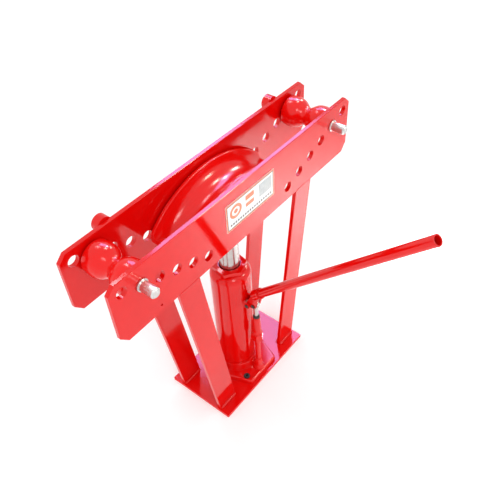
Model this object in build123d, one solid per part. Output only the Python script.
from build123d import *
import math
import os

# Manual (hydraulic hand-pump) tube bender.
# Origin: centre of the base plate's underside. +X along the beam, +Z up,
# the hand pump and its handle are on the -Y side.

# ---- frame ----
BASE_X, BASE_Y, BASE_T = 265.0, 158.0, 6.0
BEAM_L, BEAM_H, BEAM_T = 610.0, 120.5, 8.0
BEAM_GAP = 94.0                       # clear width between the side plates
BEAM_Z0 = 421.5
TOP_CHAMFER = (13.5, 12.5)
BOT_CHAMFER = (14.0, 16.5)
LEG_W, LEG_SPREAD = 49.0, 55.0        # horizontal width, outward lean over its height
LEG_X0 = 79.5                         # inner edge at the base plate
HOLE_D = 20.0
HOLE_END, HOLE_TOP = 23.0, 22.0       # first hole from beam end and from top edge
HOLE_DX, HOLE_DZ, HOLE_N = 34.7, 13.9, 6
ROLLER_HOLE = 1                       # second hole of each row carries the roller
STUB_X, STUB_Z, STUB_R, STUB_LEN = 210.0, 533.0, 14.5, 16.0

# ---- rollers and pins ----
PIN_R = 9.0
PIN_FRONT, PIN_BACK = -85.0, 64.0
ROLLER_BORE_R = 9.08
ROLLER_MID, ROLLER_HALF = -1.2, 44.8  # rollers sit slightly towards the front plate

# ---- bending die ----
DIE_C, DIE_R, DIE_HALF_Y, DIE_HALF_X = 328.0, 199.5, 39.5, 140.0
GROOVE_R, GROOVE_C = 33.0, 206.0
DIE_Z0, DIE_FLOOR = 450.0, 458.0

# ---- jack: drawn about its own ram axis, then set JACK_Y behind the middle of the frame ----
JACK_Y = 4.0
FOOT_T, FOOT_R, FOOT_HALF_X, FOOT_FRONT = 12.0, 65.0, 44.0, -76.0
RES_R, RES_WALL, RES_Z0, RES_Z1, RES_SHOULDER = 41.0, 3.5, 24.0, 298.0, 16.0
CYL_BORE_R, CYL_OUT_R, CYL_Z0, CYL_Z1 = 23.0, 29.5, 20.0, 284.0
RAM_R, RAM_TOP = 20.0, 424.0
PISTON_Z0, PISTON_Z1 = 140.0, 162.0
GLAND_HEX_R, GLAND_Z0, GLAND_Z1, GLAND_TURN = 34.0, 298.0, 308.0, 20.0
SADDLE_R, SADDLE_T, SPIGOT_R, SPIGOT_H = 24.0, 8.0, 14.7, 24.0

# ---- pump ----
PUMP_Y = -61.2
PLUNGER_R = 4.5
BARREL_TOP, BARREL_R = 188.0, 6.2
FULCRUM_Y, FULCRUM_Z = -48.5, 224.0
LEVER_R, LEVER_DEG = 13.2, 17.5       # plunger pin from the fulcrum, above level
SOCKET_Y, SOCKET_Z = -61.0, 255.0     # closed end of the handle socket, on its axis
HANDLE_DEG = 45.9                     # handle above level
SOCKET_LEN, SOCKET_R, SOCKET_BORE_R, SOCKET_FLOOR = 20.0, 11.2, 9.3, 4.0
HANDLE_R, HANDLE_WALL, HANDLE_END = 9.0, 2.0, 454.0
VALVE_X, VALVE_Y, VALVE_TILT = -56.0, -10.0, 32.0

YI = BEAM_GAP / 2
YO = YI + BEAM_T
BEAM_Z1 = BEAM_Z0 + BEAM_H
HX = BEAM_L / 2


# ---- helpers ----
def box(x0, x1, y0, y1, z0, z1):
    return Pos((x0 + x1) / 2, (y0 + y1) / 2, (z0 + z1) / 2) * Box(x1 - x0, y1 - y0, z1 - z0)


def cyl_z(x, y, r, z0, z1):
    return Pos(x, y, (z0 + z1) / 2) * Cylinder(r, z1 - z0)


def cyl_y(x, z, r, y0, y1):
    return Pos(x, (y0 + y1) / 2, z) * Rot(90, 0, 0) * Cylinder(r, y1 - y0)


def cyl_x(y, z, r, x0, x1):
    return Pos((x0 + x1) / 2, y, z) * Rot(0, 90, 0) * Cylinder(r, x1 - x0)


def prism_xz(pts, y0, y1):
    pl = Plane(origin=(0, y1, 0), x_dir=(1, 0, 0), z_dir=(0, -1, 0))
    return extrude(pl * make_face(Polyline(*pts, close=True)), amount=y1 - y0)


def prism_yz(pts, x0, x1):
    pl = Plane(origin=(x0, 0, 0), x_dir=(0, 1, 0), z_dir=(1, 0, 0))
    return extrude(pl * make_face(Polyline(*pts, close=True)), amount=x1 - x0)


def hexagon(r, turn, x, y, z0, z1):
    pts = [(x + r * math.cos(math.radians(turn + 60 * i)),
            y + r * math.sin(math.radians(turn + 60 * i))) for i in range(6)]
    return extrude(Pos(0, 0, z0) * make_face(Polyline(*pts, close=True)), amount=z1 - z0)


def turned_z(pts, x=0.0, y=0.0):
    """Solid of revolution about a vertical axis, from (r, z) points."""
    face = Plane.XZ * make_face(Polyline(*pts, close=True))
    return Pos(x, y, 0) * revolve(face, Axis.Z, 360)


def only(shape):
    """The single solid of a shape."""
    s = shape.solids()
    assert len(s) == 1, len(s)
    return s[0]


parts = {}

# ---- base plate ----
plate = box(-BASE_X / 2, BASE_X / 2, -BASE_Y / 2, BASE_Y / 2, 0, BASE_T)
plate = chamfer(plate.edges().filter_by(Axis.Z), 1.5)
plate = chamfer(plate.faces().sort_by(Axis.Z)[-1].edges(), 0.7)
SCREW_XY = [(sx * 29.7, sy * 29.7) for sx in (-1, 1) for sy in (-1, 1)]
for x, y in SCREW_XY:
    plate -= cyl_z(x, y + JACK_Y, 4.2, -1, BASE_T + 1)
    plate -= Pos(x, y + JACK_Y, 2.1) * Cone(8.4, 4.2, 4.2)
parts["base_plate"] = only(plate)

# ---- side plates ----
outline = [(-HX, BEAM_Z0 + BOT_CHAMFER[1]), (-HX + BOT_CHAMFER[0], BEAM_Z0),
           (HX - BOT_CHAMFER[0], BEAM_Z0), (HX, BEAM_Z0 + BOT_CHAMFER[1]),
           (HX, BEAM_Z1 - TOP_CHAMFER[1]), (HX - TOP_CHAMFER[0], BEAM_Z1),
           (-HX + TOP_CHAMFER[0], BEAM_Z1), (-HX, BEAM_Z1 - TOP_CHAMFER[1])]
holes = []
for i in range(HOLE_N):
    hx, hz = HX - HOLE_END - i * HOLE_DX, BEAM_Z1 - HOLE_TOP - i * HOLE_DZ
    holes += [(-hx, hz), (hx, hz)]
for name, y0, y1 in (("side_plate_front", -YO, -YI), ("side_plate_rear", YI, YO)):
    p = prism_xz(outline, y0, y1)
    p = chamfer(p.faces().sort_by(Axis.Y)[0].edges(), 0.8)
    p = chamfer(p.faces().sort_by(Axis.Y)[-1].edges(), 0.8)
    for hx, hz in holes:
        p -= cyl_y(hx, hz, HOLE_D / 2, y0 - 1, y1 + 1)
    if y0 < 0:
        p -= cyl_y(-220.0, 435.0, 2.2, y0 - 1, y1 + 1)
    parts[name] = only(p)

# ---- legs and weld beads ----
LEG_TOP = BEAM_Z0
foot_beads, beam_beads = [], []
for side, s in (("left", -1), ("right", 1)):
    pts = [(s * LEG_X0, BASE_T), (s * (LEG_X0 + LEG_W), BASE_T),
           (s * (LEG_X0 + LEG_W + LEG_SPREAD), LEG_TOP), (s * (LEG_X0 + LEG_SPREAD), LEG_TOP)]
    for row, y0, y1 in (("front", -YO, -YI), ("rear", YI, YO)):
        leg = prism_xz(pts, y0, y1)
        upright = [e for e in leg.edges()
                   if abs(e.tangent_at(0.5).Z) > 0.9]
        parts["leg_%s_%s" % (row, side)] = only(chamfer(upright, 0.8))
        xa, xb = sorted((s * (LEG_X0 + 1.0), s * (LEG_X0 + LEG_W - 1.0)))
        for face, out in ((y0, -1), (y1, 1)):
            pl = Plane(origin=(xa, 0, 0), x_dir=(0, 1, 0), z_dir=(1, 0, 0))
            b = 4.5
            prof = Line((face, BASE_T), (face + out * b, BASE_T)) + \
                ThreePointArc((face + out * b, BASE_T), (face + out * b * 0.72, BASE_T + b * 0.72),
                              (face, BASE_T + b)) + Line((face, BASE_T + b), (face, BASE_T))
            foot_beads.append(only(extrude(pl * make_face(prof), amount=xb - xa)))
            xc, xd = sorted((s * (LEG_X0 + LEG_SPREAD + 1.5), s * (LEG_X0 + LEG_SPREAD + LEG_W - 1.5)))
            pl = Plane(origin=(xc, 0, 0), x_dir=(0, 1, 0), z_dir=(1, 0, 0))
            inner = (face == YI) or (face == -YI)
            h, w = (1.8, 4.5) if inner else (0.7, 3.2)
            prof = ThreePointArc((face, BEAM_Z0 - w), (face + out * h, BEAM_Z0), (face, BEAM_Z0 + w)) + \
                Line((face, BEAM_Z0 + w), (face, BEAM_Z0 - w))
            beam_beads.append(only(extrude(pl * make_face(prof), amount=xd - xc)))
parts["foot_welds"] = Compound(children=foot_beads)
parts["beam_welds"] = Compound(children=beam_beads)

# ---- round stubs on the rear plate ----
for side, s in (("left", -1), ("right", 1)):
    stub = cyl_y(s * STUB_X, STUB_Z, STUB_R, YO, YO + STUB_LEN)
    stub = chamfer(stub.faces().sort_by(Axis.Y)[-1].edges(), 1.0)
    parts["rear_stub_" + side] = only(stub)

# ---- label plate ----
label = box(-62, 66, -YO - 0.8, -YO, 463, 519)
parts["label_plate"] = only(fillet(label.edges().filter_by(Axis.Y), 2.0))

# ---- rollers, pins and collars ----
for side, s in (("left", -1), ("right", 1)):
    px = s * (HX - HOLE_END - ROLLER_HOLE * HOLE_DX)
    pz = BEAM_Z1 - HOLE_TOP - ROLLER_HOLE * HOLE_DZ
    h, m = ROLLER_HALF, ROLLER_MID
    flank = [(28.4, h - 1.8), (29.3, h - 9.0), (29.0, 24.0), (25.6, 14.5), (19.8, 6.5), (17.4, 0.0)]
    bumps = [(r, m + y) for r, y in flank] + [(r, m - y) for r, y in reversed(flank[:-1])]
    prof = Spline(*bumps) + Polyline(bumps[-1], (26.4, m - h), (ROLLER_BORE_R, m - h),
                                     (ROLLER_BORE_R, m + h), (26.4, m + h), bumps[0])
    parts["roller_" + side] = only(Pos(px, 0, pz) * revolve(make_face(prof), Axis.Y, 360))
    prof = Polyline((0, PIN_FRONT), (PIN_R - 2.5, PIN_FRONT), (PIN_R, PIN_FRONT + 2.5),
                    (PIN_R, PIN_BACK - 1.5), (PIN_R - 1.5, PIN_BACK), (0, PIN_BACK), close=True)
    parts["pin_" + side] = only(Pos(px, 0, pz) * revolve(make_face(prof), Axis.Y, 360))
    prof = Polyline((PIN_R, -YO - 3.6), (PIN_R + 1.4, -YO - 3.6), (PIN_R + 2.0, -YO - 3.0),
                    (PIN_R + 2.0, -YO - 0.6), (PIN_R, -YO - 0.6), close=True)
    parts["pin_collar_" + side] = only(Pos(px, 0, pz) * revolve(make_face(prof), Axis.Y, 360))

# ---- bending die ----
w_at_rim = math.sqrt(GROOVE_R ** 2 - (GROOVE_C - DIE_R) ** 2)
prof = Polyline((DIE_R, w_at_rim), (DIE_R, DIE_HALF_Y), (0, DIE_HALF_Y), (0, -DIE_HALF_Y),
                (DIE_R, -DIE_HALF_Y), (DIE_R, -w_at_rim)) + \
    ThreePointArc((DIE_R, -w_at_rim), (GROOVE_C - GROOVE_R, 0), (DIE_R, w_at_rim))
sk = make_face(prof)
sk = fillet([v for v in sk.vertices() if abs(v.X - DIE_R) < 1e-3], 2.2)
wheel = Pos(0, 0, DIE_C) * revolve(sk, Axis.Y, 360)
die = wheel & box(-DIE_HALF_X, DIE_HALF_X, -60, 60, DIE_Z0, 600)
die += box(-DIE_HALF_X, DIE_HALF_X, -DIE_HALF_Y + 1, DIE_HALF_Y - 1, DIE_Z0, DIE_FLOOR)
for s in (-1, 1):
    pocket = box(min(s * 40, s * 84), max(s * 40, s * 84), -30, 30, DIE_Z0 - 1, 466)
    die -= fillet(pocket.edges().filter_by(Axis.Z), 8)
HUB_Z0 = RAM_TOP + SADDLE_T + 0.2
die += cyl_z(0, 0, 30, HUB_Z0, DIE_Z0 + 1)
die -= cyl_z(0, 0, SPIGOT_R + 0.3, HUB_Z0 - 1, HUB_Z0 + 29)
parts["bending_die"] = only(die)

# ---- jack foot ----
Z0 = BASE_T
Z1 = Z0 + FOOT_T
plan = make_hull((Circle(FOOT_R).edges() + (Pos(0, FOOT_FRONT + 15) * RectangleRounded(2 * FOOT_HALF_X, 30, 6)).edges()))
slab = extrude(Pos(0, 0, Z0) * plan, amount=FOOT_T)
slab = fillet(slab.faces().sort_by(Axis.Z)[-1].edges(), 3.6)
foot = slab + Pos(0, 0, Z1 + 8) * Cone(51, 46, 16)
post = turned_z([(0, Z1 - 1), (13.0, Z1 - 1), (12.2, Z1 + 2), (9.4, Z1 + 10), (8.6, 44), (0, 44)], 0, PUMP_Y)
foot += post + box(-5, 5, PUMP_Y, -44, Z1 - 1, 29)
foot -= cyl_z(0, 0, RES_R, RES_Z0, 120)
foot -= cyl_z(0, 0, CYL_OUT_R, CYL_Z0, RES_Z0 + 1)
# oil passages and ball seats
foot -= cyl_z(0, 0, 4.2, 14, CYL_Z0 + 1)
foot -= cyl_z(0, 0, 2.0, 9.5, 15)
foot -= cyl_y(0, 12.0, 1.5, PUMP_Y, 0)
foot -= cyl_z(0, PUMP_Y, 2.0, 9.5, 27)
foot -= cyl_z(0, PUMP_Y, BARREL_R, 26, 60)
# relief plug seat, screw holes, release valve bore
PLUG = (-38.0, -58.0)
foot -= cyl_z(PLUG[0], PLUG[1], 6.8, 13, 30)
foot -= cyl_z(PLUG[0], PLUG[1], 4.0, 8, 14)
for x, y in SCREW_XY:
    foot -= cyl_z(x, y, 3.9, Z0 - 1, 18)
t = math.radians(VALVE_TILT)
VALVE_AX = (-math.sin(t), 0.0, math.cos(t))
vpl = Plane(origin=(VALVE_X, VALVE_Y, Z1), x_dir=(0, 1, 0), z_dir=VALVE_AX)
seat_boss = extrude(vpl.offset(-4) * Circle(7.2), amount=7)
seat_boss &= box(-63, 0, -30, 10, Z1 - 5, 60)
foot += seat_boss
foot -= extrude(vpl.offset(-8) * Circle(3.3), amount=20)
parts["jack_foot"] = only(foot)

screws = []
for x, y in SCREW_XY:
    sc = Pos(x, y + JACK_Y, 2.3) * Cone(8.0, 3.9, 4.0) + cyl_z(x, y + JACK_Y, 3.9, 4.2, 17.5)
    sc -= hexagon(2.9, 0, x, y + JACK_Y, 0, 2.6)
    screws.append(only(sc))
parts["foot_screws"] = Compound(children=screws)

plug = cyl_z(PLUG[0], PLUG[1], 6.5, 13, 21) + cyl_z(PLUG[0], PLUG[1], 4.0, 8.5, 13.5)
plug = chamfer(plug.faces().sort_by(Axis.Z)[-1].edges(), 0.7)
plug -= hexagon(3.5, 0, PLUG[0], PLUG[1], 16.5, 22)
parts["relief_plug"] = only(plug)

# ---- reservoir, pressure cylinder, gland nut ----
r, w, f = RES_R, RES_WALL, RES_SHOULDER
outer = fillet(cyl_z(0, 0, r, RES_Z0, RES_Z1).faces().sort_by(Axis.Z)[-1].edges(), f)
inner = fillet(cyl_z(0, 0, r - w, RES_Z0 - 1, RES_Z1 - 5).faces().sort_by(Axis.Z)[-1].edges(), f - w)
tank = outer - inner - cyl_z(0, 0, 30.0, RES_Z1 - 10, RES_Z1 + 1)
tank -= cyl_y(0, 262, 6.0, 30, 50)
parts["reservoir_tube"] = only(tank)
cup = cyl_z(0, 0, CYL_OUT_R, CYL_Z0, CYL_Z1) - cyl_z(0, 0, CYL_BORE_R, CYL_Z0 - 1, CYL_Z1 + 1)
parts["pressure_cylinder"] = only(cup)
nut = hexagon(GLAND_HEX_R, GLAND_TURN, 0, 0, GLAND_Z0, GLAND_Z1)
nut &= Pos(0, 0, GLAND_Z0 + 5) * Cone(GLAND_HEX_R + 4.5, GLAND_HEX_R - 1.2, 10)
nut += cyl_z(0, 0, 29.9, CYL_Z1, GLAND_Z0 + 1) + cyl_z(0, 0, 22.9, CYL_Z1 - 12, CYL_Z1 + 1)
nut -= cyl_z(0, 0, RAM_R + 0.1, 200, 400)
nut -= cyl_z(0, 0, 21.5, GLAND_Z1 - 6, GLAND_Z1 + 1)
nut &= turned_z([(0, 200), (42, 200), (42, GLAND_Z1 - 4.0), (23, GLAND_Z1), (0, GLAND_Z1)])
parts["gland_nut"] = only(nut)
parts["ram_wiper"] = only(turned_z([(RAM_R + 0.35, GLAND_Z1 - 6), (21.5, GLAND_Z1 - 6), (21.5, GLAND_Z1 - 3.0),
                                    (21.0, GLAND_Z1 - 2.4), (RAM_R + 0.35, GLAND_Z1 - 2.4)]))
cap = cyl_y(0, 262, 8.5, 38, 43.6) - cyl_z(0, 0, RES_R, 200, 300)
cap = fillet(cap.faces().sort_by(Axis.Y)[-1].edges(), 1.2)
cap += cyl_y(0, 262, 6.0, 34.5, 42.5)
parts["filler_plug"] = only(cap)

# ---- ram ----
rod = turned_z([(0, PISTON_Z1), (RAM_R, PISTON_Z1), (RAM_R, RAM_TOP - 1.5), (RAM_R - 1.5, RAM_TOP),
                (8, RAM_TOP), (8, RAM_TOP - 14), (0, RAM_TOP - 14)])
parts["ram_rod"] = only(rod)
pr = CYL_BORE_R - 0.08
parts["ram_piston"] = only(turned_z([(0, PISTON_Z0), (pr - 2, PISTON_Z0), (pr, PISTON_Z0 + 2), (pr, 147), (19, 147),
                                     (19, 155), (pr, 155), (pr, PISTON_Z1), (0, PISTON_Z1)]))
parts["piston_seal"] = only(turned_z([(19, 147), (pr + 0.03, 147), (pr + 0.03, 155), (19, 155)]))
parts["ram_saddle"] = only(turned_z([(0, RAM_TOP - 13), (8, RAM_TOP - 13), (8, RAM_TOP), (SADDLE_R - 1, RAM_TOP),
                                     (SADDLE_R, RAM_TOP + 1), (SADDLE_R, RAM_TOP + SADDLE_T - 1),
                                     (SADDLE_R - 1, RAM_TOP + SADDLE_T), (SPIGOT_R, RAM_TOP + SADDLE_T),
                                     (SPIGOT_R, RAM_TOP + SADDLE_T + SPIGOT_H - 3),
                                     (SPIGOT_R - 3, RAM_TOP + SADDLE_T + SPIGOT_H),
                                     (0, RAM_TOP + SADDLE_T + SPIGOT_H)]))

# ---- pump ----
barrel = cyl_z(0, PUMP_Y, BARREL_R, 26, 118.5) + hexagon(12.6, 30, 0, PUMP_Y, 118, 137)
barrel += turned_z([(0, 44), (8.2, 44), (8.2, 48.5), (7.4, 49.5), (0, 49.5)], 0, PUMP_Y)
barrel += turned_z([(0, 136), (10.4, 136), (10.4, 140), (9.0, 143), (7.8, BARREL_TOP - 1), (7.0, BARREL_TOP), (0, BARREL_TOP)],
                   0, PUMP_Y)
barrel -= cyl_z(0, PUMP_Y, PLUNGER_R + 0.08, 60, BARREL_TOP + 1)
barrel -= cyl_z(0, PUMP_Y, 2.0, 25, 51) + cyl_z(0, PUMP_Y, 4.2, 50, 63)
parts["pump_barrel"] = only(barrel)
parts["pump_seal"] = only(turned_z([(PLUNGER_R + 0.35, BARREL_TOP), (6.6, BARREL_TOP), (6.6, BARREL_TOP + 4.5),
                                    (5.4, BARREL_TOP + 6), (PLUNGER_R + 0.35, BARREL_TOP + 6)], 0, PUMP_Y))
parts["delivery_ball"] = only(Pos(0, 0, 14 + 2.95) * Sphere(3.5))
parts["intake_ball"] = only(Pos(0, PUMP_Y, 50 + 2.95) * Sphere(3.5))

a = math.radians(LEVER_DEG)
PINY = FULCRUM_Y - LEVER_R * math.cos(a)
PINZ = FULCRUM_Z + LEVER_R * math.sin(a)
plunger = cyl_z(0, PUMP_Y, PLUNGER_R, 92, 221)
eye = cyl_x(PUMP_Y, PINZ, 7.4, -4, 4) + box(-4, 4, PUMP_Y - 4.2, PUMP_Y + 4.2, 216, PINZ)
plunger += eye
slot = extrude(Plane(origin=(-6, PUMP_Y, PINZ), x_dir=(0, 1, 0), z_dir=(1, 0, 0)) * SlotOverall(7.8, 6.6), amount=12)
plunger -= slot
parts["pump_plunger"] = only(plunger)
for side, x0 in (("left", -13.1), ("right", 9.1)):
    lug = prism_yz([(-34, FULCRUM_Z - 11), (FULCRUM_Y, FULCRUM_Z - 6.2), (FULCRUM_Y, FULCRUM_Z + 6.2), (-34, FULCRUM_Z + 11)], x0, x0 + 4)
    lug += cyl_x(FULCRUM_Y, FULCRUM_Z, 6.2, x0, x0 + 4)
    lug -= cyl_z(0, 0, RES_R, 100, 290)
    lug -= cyl_x(FULCRUM_Y, FULCRUM_Z, 4.0, x0 - 1, x0 + 5)
    parts["fulcrum_lug_" + side] = only(lug)
fp = cyl_x(FULCRUM_Y, FULCRUM_Z, 4.0, -15.2, 15.2)
parts["fulcrum_pin"] = only(chamfer(fp.edges().filter_by(GeomType.CIRCLE), 0.8))

h = math.radians(HANDLE_DEG)
HAX = (0.0, -math.cos(h), math.sin(h))
hpl = Plane(origin=(0, SOCKET_Y, SOCKET_Z), x_dir=(1, 0, 0), z_dir=HAX)
tube_c = (SOCKET_Y + HAX[1] * 9.0, SOCKET_Z + HAX[2] * 9.0)
yoke = extrude(hpl * Circle(SOCKET_R), amount=SOCKET_LEN)
yoke = chamfer(yoke.faces().sort_by(Axis.Z)[-1].edges(), 0.8)
for x0 in (-8.6, 4.6):
    pl = Plane(origin=(x0, 0, 0), x_dir=(0, 1, 0), z_dir=(1, 0, 0))
    cheek = make_hull((Pos(FULCRUM_Y, FULCRUM_Z) * Circle(6.0)).edges()
                      + (Pos(PINY, PINZ) * Circle(6.0)).edges()
                      + (Pos(tube_c[0], tube_c[1]) * Circle(7.4)).edges())
    yoke += extrude(pl * cheek, amount=4)
yoke -= extrude(hpl.offset(SOCKET_FLOOR) * Circle(SOCKET_BORE_R), amount=60)
yoke -= cyl_x(FULCRUM_Y, FULCRUM_Z, 4.07, -20, 20)
yoke -= cyl_x(PINY, PINZ, 3.0, -20, 20)
parts["pump_yoke"] = only(yoke)
pp = cyl_x(PINY, PINZ, 3.0, -8.6, 8.6) + cyl_x(PINY, PINZ, 4.4, -10.3, -8.6) + cyl_x(PINY, PINZ, 4.4, 8.6, 10.3)
parts["plunger_pin"] = only(pp)
tube = extrude(hpl.offset(SOCKET_FLOOR + 0.3) * Circle(HANDLE_R), amount=HANDLE_END - SOCKET_FLOOR - 0.3)
tube -= extrude(hpl * Circle(HANDLE_R - HANDLE_WALL), amount=HANDLE_END + 10)
parts["handle_tube"] = only(tube)

# ---- release valve ----
valve = extrude(vpl.offset(-6) * Circle(3.0), amount=11)
head = extrude(vpl.offset(4.2) * Circle(5.6), amount=9)
head = chamfer(head.faces().sort_by(Axis.Z)[-1].edges(), 0.8)
valve += head
valve -= extrude(vpl.offset(10.4) * Rectangle(14, 1.8), amount=5)
parts["release_valve"] = only(valve)

# ---- the jack, and the die on its ram, sit JACK_Y behind the middle of the frame ----
JACK_SET = ("jack_foot", "relief_plug", "reservoir_tube", "pressure_cylinder", "gland_nut", "ram_wiper",
            "filler_plug", "ram_rod", "ram_piston", "piston_seal", "ram_saddle", "pump_barrel", "pump_seal",
            "delivery_ball", "intake_ball", "pump_plunger", "fulcrum_lug_left", "fulcrum_lug_right", "fulcrum_pin",
            "pump_yoke", "plunger_pin", "handle_tube", "release_valve", "bending_die")
for name in JACK_SET:
    parts[name] = Pos(0, JACK_Y, 0) * parts[name]

os.makedirs("parts", exist_ok=True)
for name, shape in parts.items():
    export_step(shape, "parts/%s.step" % name)
